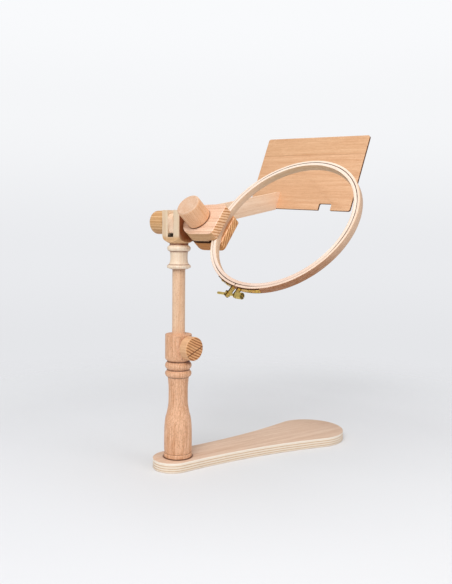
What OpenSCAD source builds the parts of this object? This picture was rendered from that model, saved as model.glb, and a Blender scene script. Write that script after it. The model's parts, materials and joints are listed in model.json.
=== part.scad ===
// Embroidery lap stand: a plywood sit-on base, a turned post with a sliding
// rod, a slotted head, a clamp that grips a round hoop, and a chart board
// on an arm. Millimetres, +Z up. The origin is on the post axis at the
// underside of the base; +X runs along the base to its wide end.

/* [Base] */
// Thickness of the plywood base
base_t = 16; // [12:0.5:20]
// Radius of the narrow end, under the post
base_r1 = 32.4; // [30:0.2:36]
// Radius of the wide end, which is sat on
base_r2 = 60.5; // [50:0.5:70]
// X of the centre of the narrow end
base_x1 = -8.3; // [-10:0.1:0]
// X of the centre of the wide end
base_x2 = 279.3; // [240:0.1:320]
// Radius of the two hollow sides
base_side_r = 887; // [700:1:1200]

/* [Post and rod] */
// Height of the post's top above the floor
post_top = 212.2; // [208:0.1:216]
// Diameter of the sliding rod
rod_d = 20; // [18:0.5:21]
// Radial clearance of the rod in its bores
rod_fit = 0.05; // [0.02:0.01:0.1]
// Height of the rod's lower end above the floor
rod_z0 = 130; // [128:1:150]
// Height of the rod's upper end above the floor
rod_z1 = 344; // [340:1:350]
// Height of the clamp knob on the collar
hknob_z = 192.2; // [188:0.1:196]
// Compass direction of the clamp knob, about the post
hknob_az = -77.5; // [-180:0.5:180]

/* [Head] */
// Height of the pivot axis above the floor
pivot_z = 386; // [380:1:392]
// Compass direction of the chart arm, about the post
head_az = 15; // [-180:1:180]
// Width of the square head
head_w = 37.3; // [36.5:0.1:38.5]
// Height of the head's top above the pivot axis
head_up = 18.3; // [16:0.1:22]
// Width of the slot for the arm
slot_w = 11.6; // [11.2:0.1:13]
// Depth of the slot below the pivot axis
slot_low = 21.9; // [20:0.1:24]

/* [Knobs and studs] */
// Diameter of the knobs on the post and the pivot
knob_d = 37; // [34:0.5:40]
// Diameter of the knob on the jaws
jaw_knob_d = 37.6; // [34:0.1:40]
// Diameter of the threaded studs and the jaw bolt
stud_d = 8; // [6:0.5:9]
// Radial clearance of a stud in a bore that it turns in
stud_fit = 0.05; // [0.02:0.01:0.1]

/* [Chart arm and board] */
// Upward slope of the arm
arm_slope = 10.07; // [0:0.01:14]
// Height of the arm's section
arm_h = 29.5; // [27:0.5:30]
// Thickness of the arm
arm_t = 10.6; // [9:0.1:11]
// Length from the pivot to the board, along the arm's lower edge
arm_len = 246.7; // [200:0.1:280]
// Backward lean of the board
board_lean = 21.2; // [10:0.1:30]
// Sideways tilt of the board in its own plane
board_roll = 3.11; // [0:0.01:5]
// Width of the board
board_w = 216.7; // [200:0.1:240]
// Height of the board
board_h = 139.9; // [120:0.1:160]
// Thickness of the board
board_t = 4; // [3:0.5:6]

/* [Hoop clamp] */
// Backward lean of the hoop: tilt of its axis from upright
clamp_tilt = 51.35; // [0:0.05:80]
// Half width of the jaws
jaw_hw = 28.3; // [26:0.1:28.3]
// Distance from the pivot's middle to the jaw bolt
jaw_bolt_y = 47.3; // [47.3:0.1:50]
// Distance from the pivot's middle to the jaws' front edge
jaw_end_y = 86; // [84:0.5:95]
// Distance from the pivot's middle to the step of the hoop seat
seat_y = 70.5; // [68:0.5:71]

/* [Hoop] */
// Radius of the joint line between the two rings
hoop_r = 110; // [109.5:0.1:110.5]
// Height of the rings
hoop_h = 10.4; // [9:0.1:10.4]
// Wall of the inner ring
inner_wall = 5; // [4:0.1:6]
// Wall of the outer ring
outer_wall = 3.8; // [3.5:0.1:5]
// Distance from the pivot's middle to the hoop's centre
hoop_y = 185.8; // [185.4:0.1:186.2]
// Offset of the hoop's centre up the clamp
hoop_x = 7.2; // [0:0.1:10]
// Position of the outer ring's split, round the hoop
split_a = -103; // [-110:1:-90]

/* [Hidden] */
$fn = 72;

hw = head_w / 2;
rod_r = rod_d / 2;
bore_r = rod_r + rod_fit;
stud_r = stud_d / 2;
run_r = stud_r + stud_fit;
bore_z0 = 41;            // bottom of the rod's bore in the post
collar_r = 20.8;         // radius of the post's collar
insert_r = 6;            // radius of the brass inserts
jaw_top = 7;             // upper jaw's top above the pivot axis, along its own axis
seat_top = -8;           // roof of the hoop seat
lip_z = -10.9;           // underside of the upper jaw behind the seat
low_top = -14.3;         // top of the lower jaw behind the seat
seat_low = -18.6;        // floor of the hoop seat
low_bot = -32.6;         // underside of the lower jaw
hoop_z = (seat_top + seat_low) / 2;
r_in0 = hoop_r - 0.1 - inner_wall;
r_in1 = hoop_r - 0.1;
r_out0 = hoop_r + 0.1;
r_out1 = hoop_r + 0.1 + outer_wall;
screw_a = -102;          // direction of the tension screw's nearest point
screw_r = r_out1 + 11;   // its distance from the hoop's centre
screw_turn = 9;          // how far the screw swings in towards the rim
plate_t = 0.9;           // brass sheet

// A smooth curve through hand-set points, and a round arc through three
// points.
function cr1(a, b, c, d, t) =
    0.5 * ((2 * b) + (c - a) * t + (2 * a - 5 * b + 4 * c - d) * t * t
           + (3 * b - a - 3 * c + d) * t * t * t);
function curve(p, n) =
    [for (i = [0 : len(p) - 2]) for (k = [0 : n - 1])
        let (a = i == 0 ? 2 * p[0] - p[1] : p[i - 1],
             d = i == len(p) - 2 ? 2 * p[i + 1] - p[i] : p[i + 2])
        cr1(a, p[i], p[i + 1], d, k / n),
     p[len(p) - 1]];
function centre3(a, b, c) =
    let (d = 2 * (a[0] * (b[1] - c[1]) + b[0] * (c[1] - a[1]) + c[0] * (a[1] - b[1])),
         A = a * a, B = b * b, C = c * c)
    [(A * (b[1] - c[1]) + B * (c[1] - a[1]) + C * (a[1] - b[1])) / d,
     (A * (c[0] - b[0]) + B * (a[0] - c[0]) + C * (b[0] - a[0])) / d];
function norm180(x) = x > 180 ? x - 360 : (x < -180 ? x + 360 : x);
function arc3(a, b, c, n) =
    let (o = centre3(a, b, c), r = norm(a - o),
         t0 = atan2(a[1] - o[1], a[0] - o[0]),
         t1 = norm180(atan2(b[1] - o[1], b[0] - o[0]) - t0),
         t2 = norm180(atan2(c[1] - o[1], c[0] - o[0]) - t0 - t1))
    [for (k = [0 : n]) let (t = t0 + (t1 + t2) * k / n) o + r * [cos(t), sin(t)]];

// Outline of a rounded rectangle, from its lower left corner
module rrect(w, h, r) {
    translate([r, 0]) square([w - 2 * r, h]);
    translate([0, r]) square([w, h - 2 * r]);
    for (x = [r, w - r], y = [r, h - r]) translate([x, y]) circle(r);
}
// Half section of a turned disc with a rounded lower (a) and upper (b) edge
module disc_section(r, h, a, b) {
    translate([0, a]) square([r, h - a - b]);
    square([r - a, h / 2]);
    translate([0, h / 2]) square([r - b, h / 2]);
    translate([r - a, a]) circle(a);
    translate([r - b, h - b]) circle(b);
}
module tube(r, ri, h) {
    difference() {
        cylinder(r = r, h = h);
        translate([0, 0, -1]) cylinder(r = ri, h = h + 2);
    }
}
// Frames: the head (X along the arm, Y along the pivot), the clamp (Z along
// the hoop's axis), the hoop's centre, and a point on the hoop's rim
module in_head() translate([0, 0, pivot_z]) rotate([0, 0, head_az]) children();
module in_clamp() in_head() rotate([0, -clamp_tilt, 0]) children();
module in_hoop() in_clamp() translate([hoop_x, -hoop_y, hoop_z]) children();
module at_rim(a) rotate([0, 0, a - 90]) children();
module in_arm() in_head() rotate([0, -arm_slope, 0]) children();
module in_board() in_head()
    translate([arm_len * cos(arm_slope) + arm_h / 2 * sin(arm_slope), -4.5,
               arm_len * sin(arm_slope) - arm_h / 2 * cos(arm_slope)])
    rotate([0, board_lean, 0]) rotate([0, 0, -90]) children();
module at_hknob() translate([0, 0, hknob_z]) rotate([0, 0, hknob_az])
    rotate([0, 90, 0]) children();
module along_pivot(y) translate([0, y, 0]) rotate([-90, 0, 0]) children();

// ---------------------------------------------------------------- base
// Two end circles joined by two hollow side arcs that touch them
function arc_points(c, r, a0, a1, n, i0, i1) =
    [for (k = [i0 : i1]) let (t = a0 + (a1 - a0) * k / n) c + r * [cos(t), sin(t)]];
module base_outline() {
    span = base_x2 - base_x1;
    ra = base_side_r + base_r1;
    rb = base_side_r + base_r2;
    cx = (ra * ra - rb * rb + span * span) / (2 * span);
    cy = sqrt(ra * ra - cx * cx);
    a1 = atan2(cy, cx);            // where the sides touch the narrow end
    a2 = atan2(cy, cx - span);     // where they touch the wide end
    b1 = atan2(-cy, -cx);
    b2 = atan2(-cy, span - cx);
    translate([base_x1, 0]) polygon(concat(
        arc_points([span, 0], base_r2, -a2, a2, 80, 0, 80),
        arc_points([cx, cy], base_side_r, b2, b1, 16, 1, 15),
        arc_points([0, 0], base_r1, a1, 360 - a1, 56, 0, 56),
        arc_points([cx, -cy], base_side_r, -b1, -b2, 16, 1, 15)));
}
module base() {
    color("#e2bd96")
    difference() {
        linear_extrude(base_t) base_outline();
        post_screw_places() {
            translate([0, 0, -1]) cylinder(r = 2.7, h = base_t + 2);
            translate([0, 0, -0.01]) cylinder(r1 = 5.6, r2 = 2.7, h = 3);
        }
    }
}
// Two countersunk screws, side by side, hold the post from below and keep it
// from turning
module post_screw_places() for (x = [-9, 9]) translate([x, 0, 0]) children();
module post_screws() {
    color("#b9b9b4")
    post_screw_places() difference() {
        union() {
            translate([0, 0, 0.4]) cylinder(r1 = 5, r2 = 2.5, h = 2.5);
            translate([0, 0, 0.4]) cylinder(r = 2.5, h = 35.6);
        }
        for (a = [0, 90]) rotate([0, 0, a])
            translate([-2.6, -0.5, 0]) cube([5.2, 1, 2]);
    }
}

// ---------------------------------------------------------------- post
post_profile = concat(
    [[0, base_t], [21.7, base_t], [22.3, base_t + 0.7]],
    arc3([22.3, base_t + 5.2], [21.95, base_t + 6.4], [21.2, base_t + 7], 4),
    curve([[21.3, base_t + 8], [21.7, 27], [21.9, 32], [22, 42], [21.9, 54],
           [21.7, 62], [21.3, 69], [20.7, 75], [19.7, 80.5], [18.7, 84],
           [17.6, 88.5], [16.7, 93], [15.8, 98.5], [15.3, 106], [15.2, 116],
           [15.2, 124], [15.4, 130], [15.8, 135], [16.3, 140], [16.6, 143.5]], 5),
    [[16.8, 144.6]],
    arc3([18.4, 145.2], [20.8, 149.4], [18.2, 154.6], 14),
    [[17.9, 155.2], [17.9, 157.1], [18.3, 157.6]],
    arc3([18.9, 157.9], [20.9, 162.4], [18.7, 167.4], 14),
    [[17.8, 168.2], [17.7, 170.4], [18.4, 170.9]],
    arc3([19.2, 171.3], [20.3, 173], [collar_r, 175.4], 6),
    arc3([collar_r, post_top - 1.2], [collar_r - 0.35, post_top - 0.35],
         [collar_r - 1.2, post_top], 5),
    [[0, post_top]]);
module post() {
    color("#d9a77f")
    difference() {
        rotate_extrude($fn = 96) polygon(post_profile);
        translate([0, 0, bore_z0]) cylinder(r = bore_r, h = post_top - bore_z0 + 1);
        post_screw_places() translate([0, 0, base_t - 1]) cylinder(r = 2.5, h = 21.5);
        at_hknob() translate([0, 0, 0]) cylinder(r = insert_r, h = 30);
    }
}
// Threaded brass bush in the collar wall
module height_insert() {
    color("#c9a24b")
    at_hknob() translate([0, 0, 10.9]) tube(insert_r, stud_r + 0.03, 8.6);
}
module height_stud() {
    color("#b9b9b4")
    at_hknob() translate([0, 0, 10.3]) cylinder(r = stud_r, h = 19.2);
}
module height_knob() {
    color("#d79a66")
    at_hknob() translate([0, 0, 21.3]) difference() {
        rotate_extrude() disc_section(knob_d / 2, 15.2, 1.2, 2);
        translate([0, 0, -1]) cylinder(r = stud_r + 0.04, h = 9.5);
    }
}

// ---------------------------------------------------------------- rod
module rod() {
    color("#e9c39c")
    translate([0, 0, rod_z0]) rotate_extrude()
        polygon([[0, 0], [rod_r - 1, 0], [rod_r, 1], [rod_r, rod_z1 - rod_z0 - 1],
                 [rod_r - 1, rod_z1 - rod_z0], [0, rod_z1 - rod_z0]]);
}

// ---------------------------------------------------------------- head
// Turned foot below the square block, heights measured from the pivot axis
head_profile = concat(
    [[0, -72.8], [10.7, -72.8], [11.2, -72.4], [13.5, -72.2], [15.3, -71.6]],
    arc3([16.5, -71], [18.6, -68.4], [16.8, -65.6], 10),
    curve([[16, -64.9], [14.9, -63.5], [13.9, -60.5], [13.5, -57.5], [13.35, -54],
           [13.6, -50], [13.9, -47], [14, -45.2]], 4),
    arc3([15.4, -44.7], [18.2, -41], [15.4, -36], 12),
    [[14.7, -35.5], [14.5, -32.4]],
    curve([[15.4, -32.1], [17.2, -31.3], [19.5, -30], [21.7, -28.6], [23.5, -27.1],
           [24.9, -24.8], [25.8, -21.4], [26.7, -17]], 4),
    [[27, -12], [27, head_up], [0, head_up]]);
module head() {
    color("#efd0a8")
    in_head() difference() {
        intersection() {
            rotate_extrude($fn = 96) polygon(head_profile);
            translate([-hw, -hw, -80]) linear_extrude(80 + head_up)
                rrect(head_w, head_w, 1);
        }
        // bore for the rod, which turns in it
        translate([0, 0, -78]) cylinder(r = bore_r, h = rod_z1 - pivot_z + 78 + 0.5);
        // slot for the arm
        translate([-hw - 1, 0, 0]) rotate([90, 0, 90])
            translate([-slot_w / 2, -slot_low]) linear_extrude(head_w + 2)
                rrect(slot_w, slot_low + head_up + 10, 1.6);
        // pivot bore through both cheeks
        along_pivot(-hw - 1) cylinder(r = run_r, h = head_w + 2);
    }
}
module pivot_washer() {
    color("#c8c8c2")
    in_head() along_pivot(hw + 0.1) tube(12, stud_r + 0.3, 1.2);
}
module pivot_stud() {
    color("#b9b9b4")
    in_head() along_pivot(-41) cylinder(r = stud_r, h = 41 + hw + 21);
}
knob_y = hw + 1.4;       // inner face of the pivot knob
module pivot_knob_insert() {
    color("#c9a24b")
    in_head() along_pivot(knob_y + 0.2) tube(insert_r, stud_r + 0.03, 12);
}
module pivot_knob() {
    color("#d8a067")
    in_head() along_pivot(knob_y) difference() {
        rotate_extrude() disc_section(knob_d / 2, 29, 1, 4.5);
        translate([0, 0, -1]) cylinder(r = insert_r, h = 13.2);
        translate([0, 0, 5]) cylinder(r = stud_r + 0.5, h = 18);
    }
}

// ---------------------------------------------------------------- chart arm
module arm() {
    end_run = arm_h / tan(90 - board_lean - arm_slope);
    color("#e3bd93")
    difference() {
        in_arm() rotate([90, 0, 0]) translate([0, 0, -arm_t / 2])
            linear_extrude(arm_t) difference() {
                union() {
                    translate([-10, -arm_h / 2]) polygon([[0, 0], [arm_len + 10, 0],
                        [arm_len + 10 + end_run, arm_h], [0, arm_h]]);
                    translate([-19.3, -arm_h / 2]) square([12, arm_h / 2]);
                    translate([-19.3, -1]) square([12, arm_h / 2 - 8]);
                    translate([-10.3, arm_h / 2 - 9]) circle(9);
                }
                translate([-19.3, -arm_h / 2]) difference() {
                    translate([-1, -1]) square([4, 4]);
                    translate([3, 3]) circle(3);
                }
            }
        in_arm() along_pivot(-arm_t) cylinder(r = run_r, h = 2 * arm_t);
        board_screw_places() translate([0, 0, -16]) cylinder(r = 1.75, h = 20);
    }
}
module chart_board() {
    color("#cf9a68")
    difference() {
        in_board() rotate([0, board_roll, 0]) translate([-63, 0, 2.64])
            translate([0, board_t, 0]) rotate([90, 0, 0]) linear_extrude(board_t)
                difference() {
                    rrect(board_w, board_h, 4);
                    translate([0.707 * board_w, -6]) rrect(0.115 * board_w, 18, 2.4);
                }
        board_screw_places() {
            translate([0, 0, -1]) cylinder(r = 1.8, h = board_t + 2);
            translate([0, 0, board_t - 2.2]) cylinder(r1 = 1.8, r2 = 4.1, h = 2.3);
        }
    }
}
// Two screw axes through the board into the arm's end; Z points backwards
module board_screw_places() {
    in_board() for (u = [7, 20]) translate([-4.5, 0, u]) rotate([-90, 0, 0]) children();
}
module board_screws() {
    color("#c8c8c2")
    board_screw_places() difference() {
        union() {
            translate([0, 0, -15]) cylinder(r = 1.75, h = 15 + board_t - 2.2);
            translate([0, 0, board_t - 2.2]) cylinder(r1 = 1.75, r2 = 3.9, h = 2.1);
        }
        for (a = [0, 90]) rotate([0, 0, a])
            translate([-2, -0.4, board_t - 1.3]) cube([4, 0.8, 3]);
    }
}

// ---------------------------------------------------------------- hoop clamp
module jaw_outline() {
    translate([0, -jaw_bolt_y]) circle(jaw_hw, $fn = 120);
    translate([-jaw_hw, -jaw_end_y + 6]) square([2 * jaw_hw, jaw_end_y - 6 - jaw_bolt_y]);
    translate([-jaw_hw + 6, -jaw_end_y]) square([2 * jaw_hw - 12, 12]);
    for (s = [-1, 1]) translate([s * (jaw_hw - 6), -jaw_end_y + 6]) circle(6);
}
module behind_seat() translate([-50, -seat_y, -60]) cube([100, 100, 120]);
module upper_jaw() {
    color("#e8b995")
    in_clamp() difference() {
        union() {
            translate([0, 0, seat_top]) linear_extrude(jaw_top - seat_top) jaw_outline();
            intersection() {
                translate([0, 0, lip_z]) linear_extrude(seat_top - lip_z + 1) jaw_outline();
                behind_seat();
            }
        }
        translate([0, -jaw_bolt_y, -40]) cylinder(r = run_r, h = 60);
        along_pivot(-41) cylinder(r = stud_r, h = 40);
    }
}
module lower_jaw() {
    color("#c98f5c")
    in_clamp() difference() {
        union() {
            translate([0, 0, low_bot]) linear_extrude(seat_low - low_bot) jaw_outline();
            intersection() {
                translate([0, 0, low_bot]) linear_extrude(low_top - low_bot) jaw_outline();
                behind_seat();
            }
        }
        translate([0, -jaw_bolt_y, -40]) cylinder(r = stud_r, h = 60);
        translate([0, -jaw_bolt_y, low_bot - 1]) cylinder(r = 9.2, h = 6);
    }
}
// Round-headed bolt, let into the underside of the lower jaw
module jaw_bolt() {
    color("#b9b9b4")
    in_clamp() translate([0, -jaw_bolt_y, 0]) {
        translate([0, 0, low_bot + 0.6]) cylinder(r = 9, h = 4.4);
        translate([0, 0, low_bot + 2]) cylinder(r = stud_r, h = 28 - low_bot - 2);
    }
}
module jaw_washer() {
    color("#c8c8c2")
    in_clamp() translate([0, -jaw_bolt_y, jaw_top + 0.1]) tube(12, stud_r + 0.3, 1.2);
}
jknob_z = jaw_top + 1.3;
module jaw_knob_insert() {
    color("#c9a24b")
    in_clamp() translate([0, -jaw_bolt_y, jknob_z + 0.2]) tube(insert_r, stud_r + 0.03, 12);
}
module jaw_knob() {
    color("#d9a57c")
    in_clamp() translate([0, -jaw_bolt_y, jknob_z]) difference() {
        rotate_extrude() disc_section(jaw_knob_d / 2, 31.2, 0.8, 2);
        translate([0, 0, -1]) cylinder(r = insert_r, h = 13.2);
        translate([0, 0, 5]) cylinder(r = stud_r + 0.5, h = 18);
    }
}

// ---------------------------------------------------------------- hoop
module ring(r0, r1) translate([0, 0, -hoop_h / 2]) tube(r1, r0, hoop_h, $fn = 180);
module hoop_inner_ring() {
    color("#f2dcc2")
    in_hoop() ring(r_in0, r_in1);
}
module rim_tube(r0, r1, h) {
    difference() {
        cylinder(r = r1, h = h, center = true, $fn = 240);
        cylinder(r = r0, h = h + 2, center = true, $fn = 240);
    }
}
rivet_left = [-112.5, -118.5];
rivet_right = [-90.5, -85];
module rivet_holes() {
    for (a = concat(rivet_left, rivet_right)) at_rim(a) translate([r_out0 - 2, 0, 0])
        rotate([0, 90, 0]) cylinder(r = 1.2, h = 10);
}
module hoop_outer_ring() {
    color("#ead0b4")
    in_hoop() difference() {
        rim_tube(r_out0, r_out1, hoop_h);
        at_rim(split_a) translate([100, -1, -20]) cube([30, 2, 40]);
        rivet_holes();
    }
}
// Wedge that keeps the rim between two directions
module between(a, b) {
    at_rim((a + b) / 2) translate([0, 0, -20]) linear_extrude(40)
        polygon([[0, 0], [170, 170 * tan((b - a) / 2)], [170, -170 * tan((b - a) / 2)]]);
}
lug_y_left = -7.4;       // the lugs' inner faces along the tension screw
lug_y_right = 4.2;
// Frame on the tension screw: X outwards, Y along it towards its barrel
module at_screw() at_rim(screw_a) translate([screw_r, 0, 0]) rotate([0, 0, screw_turn]) children();
module lug(y) {
    x = screw_r - (y + plate_t / 2) * tan(screw_turn);
    at_rim(screw_a) difference() {
        union() {
            translate([r_out1 + 0.15, y, -4]) cube([x - r_out1 - 0.15, plate_t, 8]);
            translate([x, y, 0]) rotate([-90, 0, 0]) cylinder(r = 4, h = plate_t);
        }
        translate([x, y - 1, 0]) rotate([-90, 0, 0]) cylinder(r = 2, h = plate_t + 2);
    }
}
module hoop_bracket_left() {
    color("#c9a24b")
    in_hoop() difference() {
        union() {
            intersection() {
                rim_tube(r_out1, r_out1 + plate_t, 8);
                between(-123, -105.1);
            }
            lug(lug_y_left);
        }
        rivet_holes();
    }
}
module hoop_bracket_right() {
    color("#c9a24b")
    in_hoop() difference() {
        union() {
            intersection() {
                rim_tube(r_out1, r_out1 + plate_t, 8);
                between(-100.1, -82);
            }
            lug(lug_y_right);
        }
        rivet_holes();
    }
}
module bracket_rivets() {
    color("#d8b45c")
    in_hoop() for (a = concat(rivet_left, rivet_right)) at_rim(a) rotate([0, 90, 0]) {
        translate([0, 0, r_out0]) cylinder(r = 1.2, h = r_out1 - r_out0 + plate_t + 0.2);
        translate([0, 0, r_out1 + plate_t]) rotate_extrude()
            polygon([[0, 0], [2.3, 0], [2.2, 0.35], [1.5, 0.8], [0, 1]]);
    }
}
// Small square nut behind the left lug
module tension_nut() {
    color("#c9a24b")
    in_hoop() at_screw() translate([0, lug_y_left - 3.8, 0]) rotate([-90, 0, 0])
        difference() {
            translate([-3.6, -3.6, 0]) cube([7.2, 7.2, 3]);
            translate([0, 0, -1]) cylinder(r = 1.75, h = 5);
        }
}
// Thumb screw: a grooved barrel with a slot, and a long shaft
module tension_screw() {
    color("#d8b45c")
    in_hoop() at_screw() translate([0, lug_y_right + plate_t + 1, 0])
        rotate([-90, 0, 0]) difference() {
            union() {
                translate([0, 0, -32.5]) cylinder(r = 1.7, h = 33);
                rotate_extrude() polygon([[0, 0], [4, 0], [4.6, 0.6], [4.6, 11], [4, 11.6],
                                          [0, 11.6]]);
            }
            for (k = [0 : 23]) rotate([0, 0, k * 15]) translate([4.73, 0, -1])
                cylinder(r = 0.4, h = 14, $fn = 16);
            translate([-0.6, -7, 10]) cube([1.2, 14, 3]);
        }
}

base();
post_screws();
post();
height_insert();
height_stud();
height_knob();
rod();
head();
pivot_washer();
pivot_stud();
pivot_knob_insert();
pivot_knob();
arm();
chart_board();
board_screws();
upper_jaw();
lower_jaw();
jaw_bolt();
jaw_washer();
jaw_knob_insert();
jaw_knob();
hoop_inner_ring();
hoop_outer_ring();
hoop_bracket_left();
hoop_bracket_right();
bracket_rivets();
tension_nut();
tension_screw();
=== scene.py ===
import json
import math
import bpy
import bmesh
from mathutils import Matrix, Vector

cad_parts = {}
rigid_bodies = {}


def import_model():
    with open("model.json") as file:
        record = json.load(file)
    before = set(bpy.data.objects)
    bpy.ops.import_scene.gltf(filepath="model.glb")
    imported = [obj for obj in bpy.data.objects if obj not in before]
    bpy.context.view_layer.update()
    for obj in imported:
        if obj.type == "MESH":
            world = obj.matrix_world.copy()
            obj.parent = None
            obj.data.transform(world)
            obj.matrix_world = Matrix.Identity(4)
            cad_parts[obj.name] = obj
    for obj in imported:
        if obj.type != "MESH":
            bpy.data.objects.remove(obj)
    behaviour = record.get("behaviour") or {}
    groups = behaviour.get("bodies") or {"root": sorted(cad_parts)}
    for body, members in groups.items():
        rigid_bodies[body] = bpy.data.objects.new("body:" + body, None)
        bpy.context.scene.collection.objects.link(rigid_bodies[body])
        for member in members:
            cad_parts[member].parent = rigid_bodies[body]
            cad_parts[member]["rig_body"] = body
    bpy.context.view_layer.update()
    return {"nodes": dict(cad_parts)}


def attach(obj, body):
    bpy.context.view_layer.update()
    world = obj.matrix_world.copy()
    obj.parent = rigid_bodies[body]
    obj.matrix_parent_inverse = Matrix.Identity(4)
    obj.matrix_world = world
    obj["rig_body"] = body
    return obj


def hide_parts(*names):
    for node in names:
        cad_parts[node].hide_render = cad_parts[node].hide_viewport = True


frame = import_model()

NODES = frame["nodes"]


# ------------------------------------------------------------------ frames
def rot(axis, deg):
    return Matrix.Rotation(math.radians(deg), 4, axis)


def move(x, y, z):
    """A shift, given in millimetres."""
    return Matrix.Translation((x / 1000, y / 1000, z / 1000))


HEAD = move(0, 0, 386) @ rot("Z", 15)
CLAMP = HEAD @ rot("Y", -51.35)
CLAMP_UP = CLAMP.to_3x3() @ Vector((0, 0, 1))
HOOP = CLAMP @ move(7.2, -185.8, -13.3)
ARM = HEAD @ rot("Y", -10.07)
_s = math.radians(10.07)
BOARD = (HEAD
         @ move(246.7 * math.cos(_s) + 14.75 * math.sin(_s), -4.5,
                246.7 * math.sin(_s) - 14.75 * math.cos(_s))
         @ rot("Y", 21.2) @ rot("Z", -90) @ rot("Y", 3.11) @ move(-63, 0, 2.64))
HKNOB = move(0, 0, 192.2) @ rot("Z", -77.5) @ rot("Y", 90)
GRAIN_X = Matrix.Identity(4)                 # grain along the frame's X
GRAIN_Y = rot("Z", 90)                       # grain along Y
GRAIN_Z = rot("Y", -90)                      # grain along Z


# ------------------------------------------------------------------ camera
def camera():
    data = bpy.data.cameras.new("camera")
    data.sensor_fit = "HORIZONTAL"
    data.sensor_width = 36
    data.lens = 662.3 * 36 / 452
    data.clip_start = 0.05
    data.clip_end = 60
    cam = bpy.data.objects.new("camera", data)
    bpy.context.scene.collection.objects.link(cam)
    pitch, roll = math.radians(4.863), math.radians(-0.651)
    flat = Vector((0.5702, 0.8215, 0)).normalized()
    ahead = flat * math.cos(pitch) + Vector((0, 0, -math.sin(pitch)))
    right = Vector((flat.y, -flat.x, 0))
    down = ahead.cross(right)
    right = right * math.cos(roll) + down * math.sin(roll)
    up = right.cross(ahead)
    m = Matrix.Identity(4)
    m.col[0] = (*right, 0)
    m.col[1] = (*up, 0)
    m.col[2] = (*(-ahead), 0)
    m.col[3] = (-0.5263, -0.8875, 0.3662, 1)
    cam.matrix_world = m
    bpy.context.scene.camera = cam


camera()


# ------------------------------------------------------------------ node helpers
class Graph:
    """Short ways to lay down shader nodes."""

    def __init__(self, name):
        self.mat = bpy.data.materials.new(name)
        self.mat.use_nodes = True
        self.t = self.mat.node_tree
        self.t.nodes.clear()
        self.out = self.t.nodes.new("ShaderNodeOutputMaterial")
        self.bsdf = self.t.nodes.new("ShaderNodeBsdfPrincipled")
        self.t.links.new(self.bsdf.outputs[0], self.out.inputs[0])

    def node(self, kind, **props):
        n = self.t.nodes.new(kind)
        for k, v in props.items():
            setattr(n, k, v)
        return n

    def put(self, socket, value):
        if isinstance(value, bpy.types.NodeSocket):
            self.t.links.new(value, socket)
        elif value is not None:
            socket.default_value = value

    def math(self, op, a, b=None, c=None, clamp=False):
        n = self.node("ShaderNodeMath", operation=op, use_clamp=clamp)
        for s, v in zip(n.inputs, (a, b, c)):
            self.put(s, v)
        return n.outputs[0]

    def vmath(self, op, a, b=None, scale=None):
        n = self.node("ShaderNodeVectorMath", operation=op)
        self.put(n.inputs[0], a)
        if b is not None:
            self.put(n.inputs[1], b)
        if scale is not None:
            self.put(n.inputs["Scale"], scale)
        return n.outputs["Value"] if op in ("LENGTH", "DOT_PRODUCT", "DISTANCE") else n.outputs[0]

    def local(self, frame_matrix):
        """Object coordinates in a frame, in millimetres."""
        tc = self.node("ShaderNodeTexCoord")
        m = self.node("ShaderNodeMapping", vector_type="TEXTURE")
        self.put(m.inputs["Vector"], tc.outputs["Object"])
        m.inputs["Location"].default_value = frame_matrix.to_translation()
        m.inputs["Rotation"].default_value = frame_matrix.to_euler("XYZ")
        m.inputs["Scale"].default_value = (0.001, 0.001, 0.001)
        return m.outputs[0]

    def split(self, v):
        n = self.node("ShaderNodeSeparateXYZ")
        self.put(n.inputs[0], v)
        return n.outputs[0], n.outputs[1], n.outputs[2]

    def join(self, x, y, z):
        n = self.node("ShaderNodeCombineXYZ")
        for s, v in zip(n.inputs, (x, y, z)):
            self.put(s, v)
        return n.outputs[0]

    def noise(self, vector, scale=1.0, detail=2.0, rough=0.5, distortion=0.0, color=False):
        n = self.node("ShaderNodeTexNoise", noise_dimensions="3D")
        self.put(n.inputs["Vector"], vector)
        n.inputs["Scale"].default_value = scale
        n.inputs["Detail"].default_value = detail
        n.inputs["Roughness"].default_value = rough
        n.inputs["Distortion"].default_value = distortion
        return n.outputs["Color" if color else "Fac"]

    def ramp(self, fac, stops, mode="LINEAR"):
        n = self.node("ShaderNodeValToRGB")
        n.color_ramp.interpolation = mode
        el = n.color_ramp.elements
        while len(el) > 1:
            el.remove(el[-1])
        el[0].position, el[0].color = stops[0][0], rgba(stops[0][1])
        for p, c in stops[1:]:
            e = el.new(p)
            e.color = rgba(c)
        self.put(n.inputs[0], fac)
        return n.outputs[0]

    def range(self, v, a, b, c=0.0, d=1.0, clamp=True, smooth=False):
        n = self.node("ShaderNodeMapRange", clamp=clamp)
        if smooth:
            n.interpolation_type = "SMOOTHSTEP"
        for s, x in zip(n.inputs, (v, a, b, c, d)):
            self.put(s, x)
        return n.outputs[0]

    def mix(self, fac, a, b, mode="MIX"):
        n = self.node("ShaderNodeMix", data_type="RGBA", blend_type=mode)
        self.put(n.inputs[0], fac)
        self.put(n.inputs[6], rgba(a) if not isinstance(a, bpy.types.NodeSocket) else a)
        self.put(n.inputs[7], rgba(b) if not isinstance(b, bpy.types.NodeSocket) else b)
        return n.outputs[2]

    def bump(self, height, distance, strength=1.0, after=None):
        n = self.node("ShaderNodeBump")
        n.inputs["Strength"].default_value = strength
        n.inputs["Distance"].default_value = distance
        self.put(n.inputs["Height"], height)
        if after is not None:
            self.put(n.inputs["Normal"], after)
        return n.outputs[0]


def rgba(c):
    if isinstance(c, (int, float)):
        return (c, c, c, 1)
    return tuple(c) if len(c) == 4 else (*c, 1)


def srgb(r, g, b):
    """Display values 0 to 255 to the shader's linear colour."""
    def lin(v):
        v /= 255
        return v / 12.92 if v <= 0.04045 else ((v + 0.055) / 1.055) ** 2.4
    return (lin(r), lin(g), lin(b))


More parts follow.
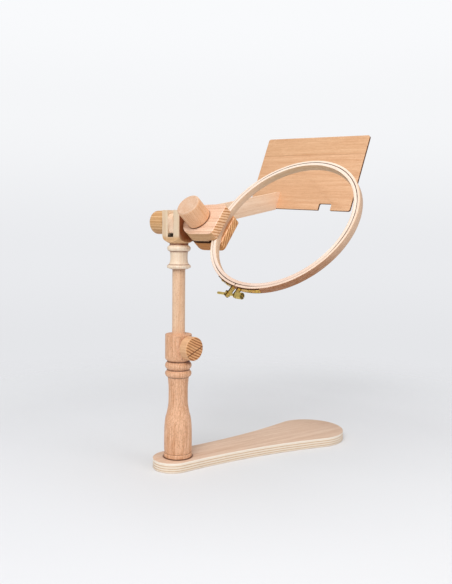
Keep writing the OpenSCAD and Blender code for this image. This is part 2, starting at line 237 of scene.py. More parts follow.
# ------------------------------------------------------------------ wood
def wood(name, frame_matrix, light, dark, toward=30.0, pith=70.0, ring=2.9, ring_depth=0.45,
         streak=0.5, fleck=0.4, warp=1.0, seed=0.0, bent=None, rough=(0.46, 0.64),
         fleck_colour=None, centre=(0.0, 0.0), line=None, after=None, uneven=1.5,
         end=0.0, wide=0.22, fine_depth=0.3, ray=(0.5, 2.1, 3.4, 0.635, 0.72), soft=False, sheen=0.35):
    """Solid wood. The grain runs along the frame's X. The growth rings are round an axis
    parallel to it, 'pith' millimetres away from 'centre' in the direction 'toward' (degrees
    from Y to Z). 'after' takes the graph, the point and the colour, and gives a new colour."""
    g = Graph(name)
    p = g.local(frame_matrix)
    raw = p
    if bent:                                   # a strip bent round Z at radius 'bent'
        x, y, z = g.split(p)
        along = g.math("MULTIPLY", g.math("ARCTAN2", y, x), bent)
        out = g.math("SUBTRACT", g.math("SQRT", g.math("ADD", g.math("MULTIPLY", x, x),
                                                       g.math("MULTIPLY", y, y))), bent)
        p = g.join(along, out, z)
    shifted = g.vmath("ADD", p, (seed * 91.0, 0.0, 0.0))
    x, y, z = g.split(shifted)
    py = centre[0] + pith * math.cos(math.radians(toward))
    pz = centre[1] + pith * math.sin(math.radians(toward))
    # slow wander of the grain
    slow = g.noise(g.vmath("MULTIPLY", shifted, (0.005, 0.02, 0.02)), 1.0, 2.0, 0.5, color=True)
    sx, sy, sz = g.split(slow)
    y1 = g.math("ADD", g.math("SUBTRACT", y, py), g.range(sy, 0, 1, -5 * warp, 5 * warp))
    z1 = g.math("ADD", g.math("SUBTRACT", z, pz), g.range(sz, 0, 1, -5 * warp, 5 * warp))
    r = g.math("SQRT", g.math("ADD", g.math("MULTIPLY", y1, y1), g.math("MULTIPLY", z1, z1)))
    turn = g.math("MULTIPLY", g.math("ARCTAN2", z1, y1), pith)
    polar = g.join(x, r, turn)
    # growth rings of uneven width, dark at the end of each year
    years = g.noise(g.join(g.math("MULTIPLY", x, 0.003), g.math("MULTIPLY", r, 0.09), 3.7 + seed),
                     1.0, 2.0, 0.6)
    rr = g.math("ADD", r, g.range(years, 0, 1, -uneven * ring, uneven * ring))
    year = g.math("DIVIDE", rr, ring)
    ringed = g.ramp(g.math("FRACT", year),
                    [(0, 0.25), (0.12, 0.0), (0.46, 0.03), (0.66, 0.85), (0.85, 1.0), (1.0, 0.25)]
                    if soft else
                    [(0, 0.15), (0.12, 0.0), (0.5, 0.18), (0.8, 0.75), (0.9, 1.0), (0.97, 0.6),
                     (1.0, 0.15)])
    which = g.noise(g.join(0.0, g.math("MULTIPLY", g.math("FLOOR", year), 7.31), seed), 1.0, 1.0, 0.5)
    ringed = g.math("MULTIPLY", ringed, g.range(which, 0.25, 0.75, 0.45, 1.0))
    # streaks of three widths, all long along the grain
    broad = g.noise(g.vmath("MULTIPLY", polar, (0.006, 0.16, 0.12)), 1.0, 2.0, 0.5)
    mid = g.noise(g.vmath("MULTIPLY", polar, (0.012, 0.55, 0.5)), 1.0, 3.0, 0.65)
    fine = g.noise(g.vmath("MULTIPLY", polar, (0.05, 2.6, 2.4)), 1.0, 3.0, 0.65)
    # rays: short dashes, about 2 mm along the grain and a quarter of a millimetre across
    rays = g.noise(g.vmath("MULTIPLY", polar, ray[:3]), 1.0, 0.0, 0.5)
    rays = g.range(rays, ray[3], ray[4], 0, 1, smooth=True)
    t = g.math("MULTIPLY", ringed, ring_depth)
    if end:                                    # end grain takes the colour of the rings strongly
        tc = g.node("ShaderNodeTexCoord")
        facing = g.vmath("DOT_PRODUCT", tc.outputs["Normal"],
                         frame_matrix.to_3x3() @ Vector((1, 0, 0)))
        facing = g.range(g.math("ABSOLUTE", facing), 0.75, 0.97, 0, 1, smooth=True)
        t = g.math("ADD", t, g.math("MULTIPLY", facing,
                                    g.math("MULTIPLY", g.math("SUBTRACT", ringed, 0.12), end)))
    t = g.math("ADD", t, g.range(broad, 0.3, 0.7, -wide, wide))
    t = g.math("ADD", t, g.range(mid, 0.3, 0.7, -0.5 * streak, 0.5 * streak))
    t = g.math("ADD", t, g.range(fine, 0.3, 0.7, -fine_depth * streak, fine_depth * streak))
    base = g.mix(g.math("ADD", t, 0.3, clamp=True), light, dark)
    spot = fleck_colour or tuple(v * k for v, k in zip(dark, (0.62, 0.50, 0.42)))
    base = g.mix(g.math("MULTIPLY", rays, fleck, clamp=True), base, spot)
    if line:                                   # one dark year, at a distance from the axis
        at, half, depth = line
        d = g.math("ABSOLUTE", g.math("SUBTRACT", r, at))
        base = g.mix(g.range(d, half, 0.0, 0, depth, smooth=True), base, spot)
    rough_socket = g.range(g.math("ADD", fine, g.math("MULTIPLY", rays, 0.3)), 0.3, 0.9,
                           rough[0], rough[1])
    if after:
        base = after(g, raw, base)
    g.put(g.bsdf.inputs["Base Color"], base)
    g.put(g.bsdf.inputs["Roughness"], rough_socket)
    g.bsdf.inputs["Specular IOR Level"].default_value = sheen
    height = g.math("SUBTRACT", g.math("MULTIPLY", fine, 0.6), g.math("MULTIPLY", rays, 0.5))
    height = g.math("SUBTRACT", height, g.math("MULTIPLY", ringed, 0.3))
    g.put(g.bsdf.inputs["Normal"], g.bump(height, 0.0001, 0.6))
    return g.mat


def groove_shade(places, colour):
    """Painted shade in the turned grooves and creases, patchy along them: (place along the axis, half
    width, depth of colour).
    """
    def after(g, p, base):
        x, y, z = g.split(p)
        patchy_shade = g.noise(g.vmath("MULTIPLY", p, (0.4, 0.18, 0.18)), 1.0, 2.0, 0.6)
        mask = None
        for at, half, depth in places:
            d = g.math("ABSOLUTE", g.math("SUBTRACT", x, at))
            m = g.range(d, half, half * 0.2, 0.0, depth, smooth=True)
            mask = m if mask is None else g.math("MAXIMUM", mask, m)
        mask = g.math("MULTIPLY", mask, g.range(patchy_shade, 0.3, 0.7, 0.7, 1.1), clamp=True)
        return g.mix(mask, base, colour)
    return after


def plies(axis, thick, layers, skin, burnt=None):
    """Plywood: between the two skins, the edge shows its layers.
    layers: (height, colour, amount of dark specks) from one face to the other, as bands."""
    def after(g, p, base):
        xyz = g.split(p)
        d = xyz[axis]
        wob = g.noise(g.vmath("MULTIPLY", p, (0.05, 0.05, 0.05)), 1.0, 2.0, 0.5)
        d2 = g.math("ADD", d, g.range(wob, 0.3, 0.7, -0.22, 0.22))
        place = g.math("DIVIDE", d2, thick, clamp=True)
        band = g.ramp(place, [(h / thick, c) for h, c, k in layers], "CONSTANT")
        marks = g.ramp(place, [(h / thick, k) for h, c, k in layers], "CONSTANT")
        # end grain specks and fine lines along the layers
        speck = g.noise(g.vmath("MULTIPLY", p, (1.1, 1.1, 1.1)), 1.0, 2.0, 0.6)
        lines = g.noise(g.vmath("MULTIPLY", p, tuple(3.5 if i == axis else 0.12 for i in range(3))),
                        1.0, 3.0, 0.6)
        dark = g.math("ADD", g.math("MULTIPLY", g.range(speck, 0.5, 0.66, 0, 1), marks),
                      g.range(lines, 0.5, 0.8, 0, 0.10), clamp=True)
        edge = g.mix(dark, band, burnt or (0.33, 0.17, 0.07))
        lo = g.range(d, skin - 0.06, skin + 0.06, 0, 1)
        hi = g.range(d, thick - skin + 0.06, thick - skin - 0.06, 0, 1)
        return g.mix(g.math("MULTIPLY", lo, hi), base, edge)
    return after


def chain(*steps):
    def after(g, p, base):
        for step in steps:
            base = step(g, p, base)
        return base
    return after


def cheek_shade(face, radius, fade, depth, colour):
    """Painted shade on the cheek that the clamp turns against: browner and darker round the pivot, next
    to the jaws.
    """
    def after(g, p, base):
        x, y, z = g.split(p)
        r = g.math("SQRT", g.math("ADD", g.math("MULTIPLY", x, x), g.math("MULTIPLY", z, z)))
        n = g.noise(g.vmath("MULTIPLY", p, (0.07, 0.2, 0.2)), 1.0, 3.0, 0.6)
        m = g.range(g.math("ADD", r, g.range(n, 0.3, 0.7, -2.5, 2.5)), radius + fade, radius - fade,
                    0.0, depth, smooth=True)
        m = g.math("MULTIPLY", m, g.range(y, face + 0.7, face, 0.0, 1.0))
        return g.mix(m, base, colour)
    return after


def sides(normal, inner, outer, tint, depth=1.0):
    """Tints the faces that don't look along 'normal'. On the jaws the tint is painted shade on their
    sides.
    """
    def after(g, p, base):
        tc = g.node("ShaderNodeTexCoord")
        n = g.vmath("DOT_PRODUCT", tc.outputs["Normal"], normal)
        m = g.range(g.math("ABSOLUTE", n), inner, outer, 0.0, depth, smooth=True)
        return g.mix(m, base, tint, "MULTIPLY")
    return after


def end_tone(at, gain):
    """A sawn end has its own tone: before 'at' where it is below 0, past it where above."""
    way = 0.4 if at < 0 else -0.4
    def after(g, p, base):
        x, y, z = g.split(p)
        return g.mix(g.range(x, at + way, at, 0.0, 1.0), base, gain, "MULTIPLY")
    return after


def block_tone(g, p, base):
    """The head's square block is a shade browner than its turned foot."""
    x, y, z = g.split(p)
    return g.mix(g.range(x, -34.0, -24.0, 0.0, 1.0, smooth=True), base, (0.87, 0.835, 0.77),
                 "MULTIPLY")


def slot_wall_shade(g, p, base):
    """Painted shade on the walls of the narrow gaps beside the arm."""
    x, y, z = g.split(p)
    m = g.math("MULTIPLY", g.range(g.math("ABSOLUTE", y), 6.0, 5.85, 0, 0.15, smooth=True),
               g.range(x, -15.5, -14.0, 0, 1))
    return g.mix(m, base, srgb(164, 108, 66))


def under_block_shade(g, p, base):
    """Painted shade on the downward-facing cove where the block runs out to the foot; the narrow neck
    below is tinted a little pinker.
    """
    x, y, z = g.split(p)
    m = g.math("MULTIPLY", g.range(x, -35.0, -32.0, 0, 1), g.range(x, -19.0, -26.0, 0, 0.9, smooth=True))
    base = g.mix(m, base, (0.83, 0.62, 0.40), "MULTIPLY")
    r = g.math("SQRT", g.math("ADD", g.math("MULTIPLY", y, y), g.math("MULTIPLY", z, z)))
    low = g.math("MULTIPLY", g.range(x, -37.0, -40.0, 0, 1),
                 g.range(r, 16.6, 13.6, 0.0, 0.3, smooth=True))
    return g.mix(low, base, (1.0, 0.92, 0.86), "MULTIPLY")


def knob_shade(g, p, base):
    """Painted shadow of the clamp knob, in the groove below it."""
    x, y, z = g.split(p)                # x runs up the post, z along minus its X
    dx = g.math("MULTIPLY", g.math("SUBTRACT", x, 169.6), 1.5)
    dy = g.math("SUBTRACT", y, -15.6)
    dz = g.math("SUBTRACT", z, -10.0)
    r = g.math("SQRT", g.math("ADD", g.math("MULTIPLY", dx, dx),
                              g.math("ADD", g.math("MULTIPLY", dy, dy), g.math("MULTIPLY", dz, dz))))
    return g.mix(g.range(r, 10.5, 2.0, 0, 0.8, smooth=True), base, srgb(122, 60, 20))


def knob_crack(g, p, base):
    """One dark line across the height knob's face."""
    x, y, z = g.split(p)                # x runs out along the knob, z up, y across
    d = g.math("ABSOLUTE", g.math("ADD", g.math("ADD", z, 4.4),
                                  g.math("MULTIPLY", y, -0.42)))
    m = g.math("MULTIPLY", g.range(d, 1.05, 0.45, 0, 0.95, smooth=True), g.range(x, 35.6, 36.2, 0, 1))
    return g.mix(m, base, srgb(92, 42, 10))


def knob_foot(at):
    """Shade round the foot of the tall knob, on the jaw's face."""
    def after(g, p, base):
        x, y, z = g.split(p)            # x runs along the clamp's Y, y along minus its X
        u = g.math("ADD", x, at)
        r = g.math("SQRT", g.math("ADD", g.math("MULTIPLY", u, u), g.math("MULTIPLY", y, y)))
        m = g.math("MULTIPLY", g.range(r, 20.2, 18.6, 0, 0.75, smooth=True),
                   g.range(z, 6.5, 6.9, 0, 1))
        return g.mix(m, base, srgb(150, 92, 50))
    return after


def foot_shadow(g, p, base):
    """Painted contact shadow round the post's foot, on top of the base."""
    x, y, z = g.split(p)
    r = g.math("SQRT", g.math("ADD", g.math("MULTIPLY", x, x), g.math("MULTIPLY", y, y)))
    m = g.math("MULTIPLY", g.range(r, 25.6, 22.6, 0, 0.9, smooth=True),
               g.range(z, 15.4, 15.8, 0, 1))
    return g.mix(m, base, srgb(104, 58, 30))


def veneer_joint(g, p, base):
    """Two leaves of veneer meet on the board's faces; the upper one is yellower."""
    x, y, z = g.split(p)
    n = g.noise(g.vmath("MULTIPLY", p, (0.03, 0.1, 0.1)), 1.0, 1.0, 0.5)
    h = g.math("ADD", z, g.range(n, 0.3, 0.7, -0.5, 0.5))
    base = g.mix(g.range(h, 104.6, 105.4, 0, 1), base, (0.985, 0.99, 0.975), "MULTIPLY")
    d = g.math("ABSOLUTE", g.math("SUBTRACT", h, 105.0))
    return g.mix(g.range(d, 0.7, 0.2, 0, 0.45, smooth=True), base, srgb(150, 96, 58))


def slot_floor_shade(g, p, base):
    """Painted shade below the arm, in the bottom of the slot, nearly black."""
    x, y, z = g.split(p)
    m = g.math("MULTIPLY", g.range(g.math("ABSOLUTE", y), 6.0, 5.7, 0, 1),
               g.range(x, -16.6, -18.4, 0, 0.97, smooth=True))
    m = g.math("MULTIPLY", m, g.range(x, -23.0, -22.6, 0, 1))
    return g.mix(m, base, srgb(40, 22, 12))


def jaw_edges(z_gap, side, y_step):
    """Jaws: painted shade on the inner faces behind the hoop seat, and on the rounded end next to the
    head.
    """
    def after(g, p, base):
        x, y, z = g.split(p)            # x runs along the clamp's Y, y along minus its X
        m = g.range(g.math("MULTIPLY", g.math("SUBTRACT", z, z_gap), side), 1.7, 0.5, 0, 0.92,
                    smooth=True)
        m = g.math("MULTIPLY", m, g.range(x, y_step, y_step + 0.5, 0, 1))
        base = g.mix(m, base, srgb(66, 30, 10))
        # painted shade on the rounded end, where it turns against the head's cheek
        end_shade = g.range(x, -31.0, -19.0, 0, 0.6, smooth=True)
        return g.mix(end_shade, base, srgb(118, 72, 30))
    return after


def hoop_faces(joint, side, wall, near, far, held):
    """Rings: a dark joint line on the rims and browner walls. 'side' is 1 where the ring
    lies outside the joint. The wall goes from 'near' to 'far' on the low side, the darker 'far'
    being painted shade where the wall faces down, and is 'held' in colour in the jaws. The
    rings are also a little darker and pinker towards the low side."""
    def after(g, p, base):
        x, y, z = g.split(p)
        r = g.math("SQRT", g.math("ADD", g.math("MULTIPLY", x, x), g.math("MULTIPLY", y, y)))
        n = g.noise(g.vmath("MULTIPLY", p, (0.12, 0.12, 1.2)), 1.0, 3.0, 0.6)
        d = g.math("MULTIPLY", g.math("SUBTRACT", r, joint), side)
        w = g.math("MULTIPLY", g.math("SUBTRACT", r, wall), side)
        base = g.mix(g.range(x, -40.0, -105.0, 0, 1, smooth=True), base, (0.88, 0.83, 0.82),
                     "MULTIPLY")
        base = g.mix(g.math("MULTIPLY", g.range(w, -0.6, -0.2, 0, 1, smooth=True),
                            g.range(n, 0.3, 0.7, 0.6, 1.0)), base,
                     g.mix(g.range(y, 45.0, 98.0, 0, 1, smooth=True),
                           g.mix(g.range(x, -10.0, -95.0, 0, 1, smooth=True), near, far), held))
        tight = g.range(g.math("ADD", g.math("MULTIPLY", x, -0.00745), g.math("MULTIPLY", y, -0.00522)),
                        0.78, 0.93, 1.0, 0.25, smooth=True)
        tight = g.math("MULTIPLY", tight, g.range(y, 62.0, 86.0, 1.0, 0.3, smooth=True))
        return g.mix(g.math("MULTIPLY", g.range(d, 0.75, 0.3, 0, 1, smooth=True),
                            g.math("MULTIPLY", tight, g.range(n, 0.3, 0.6, 0.6, 1.0))), base,
                     srgb(74, 44, 24))
    return after


# ------------------------------------------------------------------ metals
def metal(name, colour, rough=0.28, brushed=(1, 1, 12), tarnish=None, dull=0.55):
    g = Graph(name)
    tc = g.node("ShaderNodeTexCoord")
    p = g.vmath("SCALE", tc.outputs["Object"], scale=1000.0)
    blotch = g.noise(p, 0.35, 3.0, 0.6)
    fine = g.noise(g.vmath("MULTIPLY", p, brushed), 1.6, 2.0, 0.6)
    old = tarnish or tuple(v * 0.55 for v in colour)
    g.put(g.bsdf.inputs["Base Color"], g.mix(g.range(blotch, 0.42, 0.72, 0.0, dull), colour, old))
    g.bsdf.inputs["Metallic"].default_value = 1.0
    g.put(g.bsdf.inputs["Roughness"], g.range(g.math("ADD", blotch, g.math("MULTIPLY", fine, 0.4)),
                                              0.4, 1.0, rough, rough + 0.22))
    g.put(g.bsdf.inputs["Normal"], g.bump(fine, 0.00002, 0.4))
    return g.mat


def fitting(name, frame_matrix, kind, colour, dark, rough):
    """Brass of the tension fitting: its own bright colour with tarnish in blotches, and painted shade
    and dark reflection along its edges, in its grooves and at its ends."""
    g = Graph(name)
    p = g.local(frame_matrix)
    x, y, z = g.split(p)
    if kind == "screw":                        # Z along the screw
        r = g.math("SQRT", g.math("ADD", g.math("MULTIPLY", x, x), g.math("MULTIPLY", y, y)))
        m = g.math("MULTIPLY", g.range(r, 4.58, 4.36, 0, 0.5), g.range(r, 3.2, 3.6, 0, 1))
        ends = g.math("MAXIMUM", g.range(z, 0.9, 0.5, 0, 1), g.range(z, 10.6, 11.1, 0, 1))
        m = g.math("MAXIMUM", m, g.math("MULTIPLY", ends, g.range(z, -0.5, -0.2, 0, 0.8)))
        m = g.math("MAXIMUM", m, g.math("MULTIPLY", g.range(z, -0.2, -0.5, 0, 1),
                                        g.range(r, 1.74, 1.66, 0, 0.75)))
    elif kind == "plate":                      # Z along the hoop's axis
        m = g.range(g.math("ABSOLUTE", z), 2.7, 3.6, 0, 1, smooth=True)
    else:
        m = g.range(g.vmath("LENGTH", p), 3.2, 4.6, 0, 0.9, smooth=True)
    blotch = g.noise(g.vmath("MULTIPLY", p, (0.45, 0.45, 0.45)), 1.0, 3.0, 0.65)
    fine = g.noise(g.vmath("MULTIPLY", p, (2.0, 2.0, 2.0)), 1.0, 2.0, 0.6)
    m = g.math("MAXIMUM", m, g.range(blotch, 0.52, 0.66, 0.0, 0.85, smooth=True))
    g.put(g.bsdf.inputs["Base Color"], g.mix(m, colour, dark))
    g.bsdf.inputs["Metallic"].default_value = 0.75
    g.put(g.bsdf.inputs["Roughness"], g.range(g.math("ADD", m, g.math("MULTIPLY", fine, 0.3)),
                                              0.1, 1.2, rough, rough + 0.35))
    g.put(g.bsdf.inputs["Normal"], g.bump(fine, 0.00003, 0.5))
    return g.mat


BRASS = metal("brass_polished", srgb(238, 204, 108), 0.15, tarnish=srgb(150, 112, 44), dull=0.8)
STEEL = metal("zinc_plated_steel", srgb(196, 196, 190), 0.3)

# Painted shade in the turned grooves and creases of the post and the head, with a painted contact shadow
# at the post's foot (16.0): (place along the axis, half width, depth of colour).
GROOVE_SHADE = srgb(88, 42, 14)
POST_LINES = [(16.0, 2.0, 1.0), (23.4, 1.0, 0.5), (144.7, 1.1, 0.75), (156.1, 1.5, 0.9),
              (169.4, 1.8, 0.95)]
HEAD_LINES = [(-72.6, 1.3, 0.95), (-65.3, 1.2, 0.7), (-45.0, 1.3, 0.9), (-33.9, 2.2, 1.0)]
CREAM, TAN, WHITE = srgb(240, 226, 208), srgb(214, 170, 124), srgb(246, 236, 222)
BASE_PLIES = [(0.0, srgb(140, 100, 66), 0.3), (0.5, CREAM, 0.03), (2.8, TAN, 0.55),
              (3.7, CREAM, 0.03), (6.4, TAN, 0.5), (7.4, CREAM, 0.03), (10.3, TAN, 0.6),
              (11.3, CREAM, 0.02), (14.0, WHITE, 0.0)]
BURNT = srgb(122, 78, 46)
BOARD_PLIES = [(0.0, BURNT, 0.3), (1.3, srgb(98, 60, 34), 0.3), (2.6, BURNT, 0.3)]

MATS = {
    "post": wood("post_beech", GRAIN_Z, srgb(244, 196, 160), srgb(202, 142, 98), toward=57, pith=55,
                 ring=2.4, ring_depth=0.42, streak=0.92, fleck=0.7, fine_depth=0.8, wide=0.16,
                 ray=(0.4, 2.1, 3.8, 0.635, 0.72), fleck_colour=srgb(136, 84, 52), seed=1,
                 rough=(0.38, 0.56), sheen=0.5,
                 after=chain(knob_shade, groove_shade(POST_LINES, GROOVE_SHADE))),
    "rod": wood("rod_beech", GRAIN_Z, srgb(244, 208, 176), srgb(216, 168, 128), toward=60, pith=46,
                ring=2.4, ring_depth=0.35, streak=0.65, fleck=0.6, fine_depth=0.7,
                ray=(0.4, 2.1, 3.8, 0.635, 0.72), fleck_colour=srgb(160, 108, 72), seed=2),
    "head": wood("head_beech", HEAD @ GRAIN_Z, srgb(255, 238, 216), srgb(235, 203, 168), toward=31,
                 pith=58, ring=2.8, ring_depth=0.35, streak=0.45, fleck=0.2, fine_depth=0.5, seed=3,
                 rough=(0.34, 0.5), sheen=0.55,
                 after=chain(block_tone, under_block_shade, groove_shade(HEAD_LINES, srgb(132, 62, 20)),
                             cheek_shade(-18.65, 31.0, 8.0, 0.95, srgb(142, 70, 20)), slot_wall_shade,
                             slot_floor_shade)),
    "height_knob": wood("height_knob_beech", HKNOB @ GRAIN_Z, srgb(250, 204, 158),
                        srgb(158, 84, 32), fleck=0.2, toward=66, pith=400, ring=4.05, ring_depth=0.14,
                        streak=0.25, warp=0.4, uneven=0.2, end=1.1, wide=0.1, soft=True, seed=4,
                        after=chain(end_tone(36.2, (0.96, 0.86, 0.70)), knob_crack)),
    "pivot_knob": wood("pivot_knob_beech", HEAD @ GRAIN_Y, srgb(242, 202, 152), srgb(186, 126, 68),
                       toward=80, pith=60, ring=3.6, ring_depth=0.75, streak=0.55, seed=5,
                       uneven=0.8),
    "jaw_knob": wood("jaw_knob_beech", CLAMP @ GRAIN_Z, srgb(230, 197, 171), srgb(206, 156, 116),
                     toward=55, pith=80, ring=2.4, ring_depth=0.25, streak=0.6, fleck=0.4,
                     fine_depth=0.6, seed=6,
                     after=sides(CLAMP_UP, 0.8, 0.4, (1.23, 1.10, 0.93))),
    "arm": wood("arm_beech", ARM, srgb(255, 226, 200), srgb(234, 192, 154), toward=75, pith=50,
                ring=3.0, ring_depth=0.3, streak=0.5, fine_depth=0.5, seed=7),
    "upper_jaw": wood("upper_jaw_beech", CLAMP @ GRAIN_Y, srgb(252, 218, 192),
                      srgb(186, 122, 74), toward=145, pith=400, ring=4.1, ring_depth=0.14,
                      streak=0.36, fleck=0.45, warp=0.5, uneven=0.3, end=0.95, wide=0.1, seed=8,
                      fine_depth=0.5, soft=True,
                      # painted shade on the upper jaw's sides; the end gain lightens the sawn end again
                      after=chain(sides(CLAMP_UP, 0.85, 0.35, (0.82, 0.75, 0.54)),
                                  end_tone(-85.4, (1.46, 1.46, 1.64)),
                                  knob_foot(47.3), jaw_edges(-10.9, 1.0, -70.5))),
    "lower_jaw": wood("lower_jaw_beech", CLAMP @ GRAIN_Y, srgb(244, 184, 128), srgb(156, 84, 30),
                      toward=62, pith=400, ring=4.4, ring_depth=0.2, streak=0.35, warp=0.5,
                      uneven=0.3, end=0.85, wide=0.15, seed=9, soft=True,
                      # painted shade on the lower jaw's sides; the end gain lightens the sawn end again
                      after=chain(sides(CLAMP_UP, 0.85, 0.35, (0.79, 0.69, 0.45)),
                                  end_tone(-85.4, (1.50, 1.84, 2.9)),
                                  jaw_edges(-14.3, -1.0, -70.5))),
    "hoop_inner_ring": wood("inner_ring_beech", HOOP, srgb(255, 238, 224), srgb(232, 198, 172),
                            toward=80, pith=90, bent=107.6, seed=10, ring_depth=0.2, streak=0.45,
                            fleck=0.2, after=hoop_faces(109.9, -1.0, 104.9, srgb(206, 168, 124),
                                             srgb(206, 164, 124), srgb(226, 186, 150))),
    "hoop_outer_ring": wood("outer_ring_beech", HOOP, srgb(255, 238, 222), srgb(226, 190, 158),
                            toward=75, pith=90, bent=112, seed=11, ring_depth=0.2, streak=0.45,
                            fleck=0.2, after=hoop_faces(110.1, 1.0, 113.9, srgb(228, 188, 156),
                                             srgb(160, 90, 18), srgb(226, 184, 150))),
    "chart_board": wood("board_veneer", BOARD, srgb(232, 186, 146), srgb(200, 144, 100), toward=86,
                        pith=160, ring=5.5, ring_depth=0.12, streak=0.5, fleck=0.35, seed=12,
                        fine_depth=0.7, wide=0.16, centre=(0, 60),
                        after=chain(veneer_joint,
                                    plies(1, 4.0, BOARD_PLIES, 0.35, srgb(70, 40, 20)))),
    "base": wood("base_veneer", GRAIN_X, srgb(236, 208, 186), srgb(206, 164, 132), toward=88,
                 pith=140, ring=6.0, ring_depth=0.3, streak=0.5, fleck=0.25, fine_depth=0.5, seed=13,
                 after=chain(foot_shadow, plies(2, 16.0, BASE_PLIES, 0.42, srgb(96, 56, 26)))),
}
for n in ("height_insert", "pivot_knob_insert", "jaw_knob_insert", "bracket_rivets"):
    MATS[n] = BRASS
SCREW = HOOP @ rot("Z", -192) @ move(124.9, 0, 0) @ rot("Z", 9) @ move(0, 6.1, 0) @ rot("X", -90)
NUT = HOOP @ rot("Z", -192) @ move(124.9, 0, 0) @ rot("Z", 9) @ move(0, -9.7, 0)
YELLOW, UMBER = srgb(255, 226, 134), srgb(50, 24, 4)
MATS["tension_screw"] = fitting("brass_screw", SCREW, "screw", YELLOW, UMBER, 0.14)
MATS["tension_nut"] = fitting("brass_nut", NUT, "nut", srgb(244, 210, 120), UMBER, 0.2)
for n in ("hoop_bracket_left", "hoop_bracket_right"):
    MATS[n] = fitting("brass_strip_" + n[13:], HOOP, "plate", srgb(242, 206, 116), UMBER, 0.2)
for n in ("post_screws", "height_stud", "pivot_washer", "pivot_stud", "board_screws", "jaw_bolt",
          "jaw_washer"):
    MATS[n] = STEEL


def finish_piece(obj, mat):
    obj.data.materials.clear()
    obj.data.materials.append(mat)
    for poly in obj.data.polygons:
        poly.use_smooth = True


# ------------------------------------------------------------------ rounded copies
def rounded(node, width, segments=3, angle=32, suffix="_rounded"):
    """A copy of a CAD node with its sharp edges eased. It stands for the node."""
    src = NODES[node]
    me = src.data.copy()
    me.name = node + suffix
    bm = bmesh.new()
    bm.from_mesh(me)
    bmesh.ops.remove_doubles(bm, verts=bm.verts, dist=2e-6)
    bmesh.ops.dissolve_limit(bm, angle_limit=math.radians(0.4), verts=bm.verts, edges=bm.edges,
                             use_dissolve_boundaries=False)
    bm.to_mesh(me)
    bm.free()
    obj = bpy.data.objects.new(node + suffix, me)
    bpy.context.scene.collection.objects.link(obj)
    b = obj.modifiers.new("ease", "BEVEL")
    b.limit_method = "ANGLE"
    b.angle_limit = math.radians(angle)
    b.width = width / 1000
    b.segments = segments
    b.profile = 0.5
    b.use_clamp_overlap = True
    b.harden_normals = True
    b.miter_outer = "MITER_ARC"
    for poly in me.polygons:
        poly.use_smooth = True
    bpy.context.view_layer.update()
    done = bpy.data.meshes.new_from_object(obj.evaluated_get(bpy.context.evaluated_depsgraph_get()))
    obj.modifiers.clear()
    obj.data = done
    done.name = node + suffix
    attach(obj, src["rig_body"])
    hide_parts(node)
    return obj


ROUND = {"base": 1.3, "head": 0.9, "arm": 1.0, "upper_jaw": 1.2, "lower_jaw": 1.2,
         "chart_board": 0.5, "hoop_inner_ring": 0.7, "hoop_outer_ring": 0.6}
for n, obj in NODES.items():
    if n in ROUND:
        piece = rounded(n, ROUND[n])
        finish_piece(piece, MATS[n])
    else:
        obj.data.materials.clear()
        obj.data.materials.append(MATS[n])


# ------------------------------------------------------------------ thread
def thread(name, frame_matrix, radius, z0, z1, pitch, height, node, mat):
    """A helical ridge round a shaft along the frame's Z."""
    steps = 20
    bm = bmesh.new()
    rows = []
    for i in range(int((z1 - z0) / pitch * steps) + 1):
        a = math.tau * i / steps
        z = z0 + pitch * i / steps
        up = min(1.0, i / steps, (z1 - z) / pitch)
        row = []
        for dz, r in ((-0.3, radius - 0.06), (-0.07, radius + height * up),
                      (0.07, radius + height * up), (0.3, radius - 0.06)):
            v = Vector((r * math.cos(a), r * math.sin(a), z + dz * pitch)) / 1000
            row.append(bm.verts.new(frame_matrix @ v))
        rows.append(row)
    for a, b in zip(rows, rows[1:]):
        for k in range(4):
            bm.faces.new((a[k], a[(k + 1) % 4], b[(k + 1) % 4], b[k]))
    bm.faces.new(rows[0][::-1])
    bm.faces.new(rows[-1])
    bmesh.ops.recalc_face_normals(bm, faces=bm.faces)
    me = bpy.data.meshes.new(name)
    bm.to_mesh(me)
    bm.free()
    obj = bpy.data.objects.new(name, me)
    bpy.context.scene.collection.objects.link(obj)
    me.materials.append(mat)
    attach(obj, NODES[node]["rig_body"])
    return obj


thread("tension_screw_thread", SCREW, 1.7, -32.1, -0.6, 0.8, 0.12, "tension_screw",
       MATS["tension_screw"])


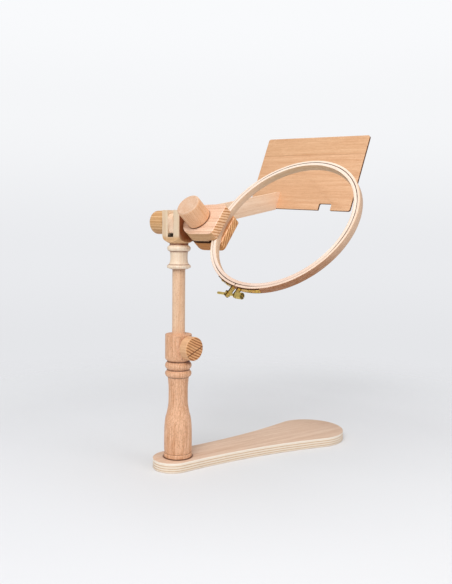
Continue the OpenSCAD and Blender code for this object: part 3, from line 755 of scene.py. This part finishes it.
# ------------------------------------------------------------------ studio
def studio_floor():
    """A round sheet of pale paper, lit by the lamps, that fades into the pale surround."""
    g = Graph("studio_paper")
    tc = g.node("ShaderNodeTexCoord")
    x, y, z = g.split(tc.outputs["Object"])
    n = g.noise(tc.outputs["Object"], 2.0, 3.0, 0.5)
    dx = g.math("SUBTRACT", x, 0.10)
    r = g.math("SQRT", g.math("ADD", g.math("MULTIPLY", dx, dx), g.math("MULTIPLY", y, y)))
    # Painted light on the paper: paler away from the middle and towards minus Y, standing in for even
    # light where the lamps' light falls off.
    tone = g.ramp(g.math("DIVIDE", r, 2.0, clamp=True),
                  [(0.0, srgb(229, 230, 232)), (0.2, srgb(233, 234, 237)),
                   (0.45, srgb(246, 247, 250)), (1.0, srgb(250, 251, 253))], "EASE")
    tone = g.mix(g.range(y, -0.05, -0.60, 0.0, 0.3, smooth=True), tone, (0.98, 0.98, 0.98))
    g.put(g.bsdf.inputs["Base Color"], g.mix(g.range(n, 0.3, 0.7, 0.0, 0.03), tone, (0.6, 0.6, 0.62)))
    g.bsdf.inputs["Roughness"].default_value = 0.9
    g.bsdf.inputs["Specular IOR Level"].default_value = 0.1
    clear = g.node("ShaderNodeBsdfTransparent")
    blend = g.node("ShaderNodeMixShader")
    g.put(blend.inputs[0], g.range(r, 0.36, 1.05, 0.0, 1.0, smooth=True))
    g.t.links.new(g.bsdf.outputs[0], blend.inputs[1])
    g.t.links.new(clear.outputs[0], blend.inputs[2])
    g.t.links.new(blend.outputs[0], g.out.inputs[0])
    bm = bmesh.new()
    bmesh.ops.create_circle(bm, cap_ends=True, segments=96, radius=1.2,
                            matrix=Matrix.Translation((0.10, 0, 0)))
    me = bpy.data.meshes.new("studio_floor")
    bm.to_mesh(me)
    bm.free()
    me.materials.append(g.mat)
    o = bpy.data.objects.new("studio_floor", me)
    bpy.context.scene.collection.objects.link(o)


def surround():
    """Soft light from all round, in front of an even pale ground that the lens sees."""
    world = bpy.data.worlds.new("studio")
    bpy.context.scene.world = world
    world.use_nodes = True
    t = world.node_tree
    t.nodes.clear()
    out = t.nodes.new("ShaderNodeOutputWorld")
    both = t.nodes.new("ShaderNodeMixShader")
    path = t.nodes.new("ShaderNodeLightPath")
    lamp = t.nodes.new("ShaderNodeBackground")
    lamp.inputs[0].default_value = (1, 1, 1, 1)
    lamp.inputs[1].default_value = 0.43
    seen = t.nodes.new("ShaderNodeBackground")
    seen.inputs[1].default_value = 1.0
    tc = t.nodes.new("ShaderNodeTexCoord")
    sep = t.nodes.new("ShaderNodeSeparateXYZ")
    rng = t.nodes.new("ShaderNodeMapRange")
    rng.inputs[1].default_value, rng.inputs[2].default_value = -0.4, 0.4
    ramp = t.nodes.new("ShaderNodeValToRGB")
    ramp.color_ramp.interpolation = "EASE"
    el = ramp.color_ramp.elements
    el[0].position, el[0].color = 0.0, rgba(srgb(227, 228, 230))
    el[1].position, el[1].color = 1.0, rgba(srgb(251, 252, 253))
    for p, c in ((0.3, srgb(229, 230, 233)), (0.46, srgb(234, 235, 238)), (0.72, srgb(245, 246, 248)),
                 (0.88, srgb(249, 250, 252))):
        e = el.new(p)
        e.color = rgba(c)
    t.links.new(tc.outputs["Generated"], sep.inputs[0])
    t.links.new(sep.outputs[2], rng.inputs[0])
    t.links.new(rng.outputs[0], ramp.inputs[0])
    t.links.new(ramp.outputs[0], seen.inputs[0])
    t.links.new(path.outputs["Is Camera Ray"], both.inputs[0])
    t.links.new(lamp.outputs[0], both.inputs[1])
    t.links.new(seen.outputs[0], both.inputs[2])
    t.links.new(both.outputs[0], out.inputs[0])


def light(name, place, target, size, power, colour=(1, 1, 1)):
    d = bpy.data.lights.new(name, "AREA")
    d.shape = "RECTANGLE"
    d.size, d.size_y = size
    d.energy = power
    d.color = colour
    o = bpy.data.objects.new(name, d)
    bpy.context.scene.collection.objects.link(o)
    o.location = place
    o.rotation_euler = (Vector(target) - Vector(place)).to_track_quat("-Z", "Y").to_euler()
    return o


studio_floor()
surround()
light("key", (-1.7, -1.3, 2.1), (0.05, 0, 0.28), (1.5, 1.5), 50)
light("fill", (0.9, -2.0, 1.6), (0.1, 0, 0.3), (1.2, 1.2), 9)
light("top", (0.1, -0.1, 2.5), (0.1, 0, 0.2), (2.0, 2.0), 12.5)
sc = bpy.context.scene
sc.view_settings.view_transform = "Standard"
sc.view_settings.look = "None"
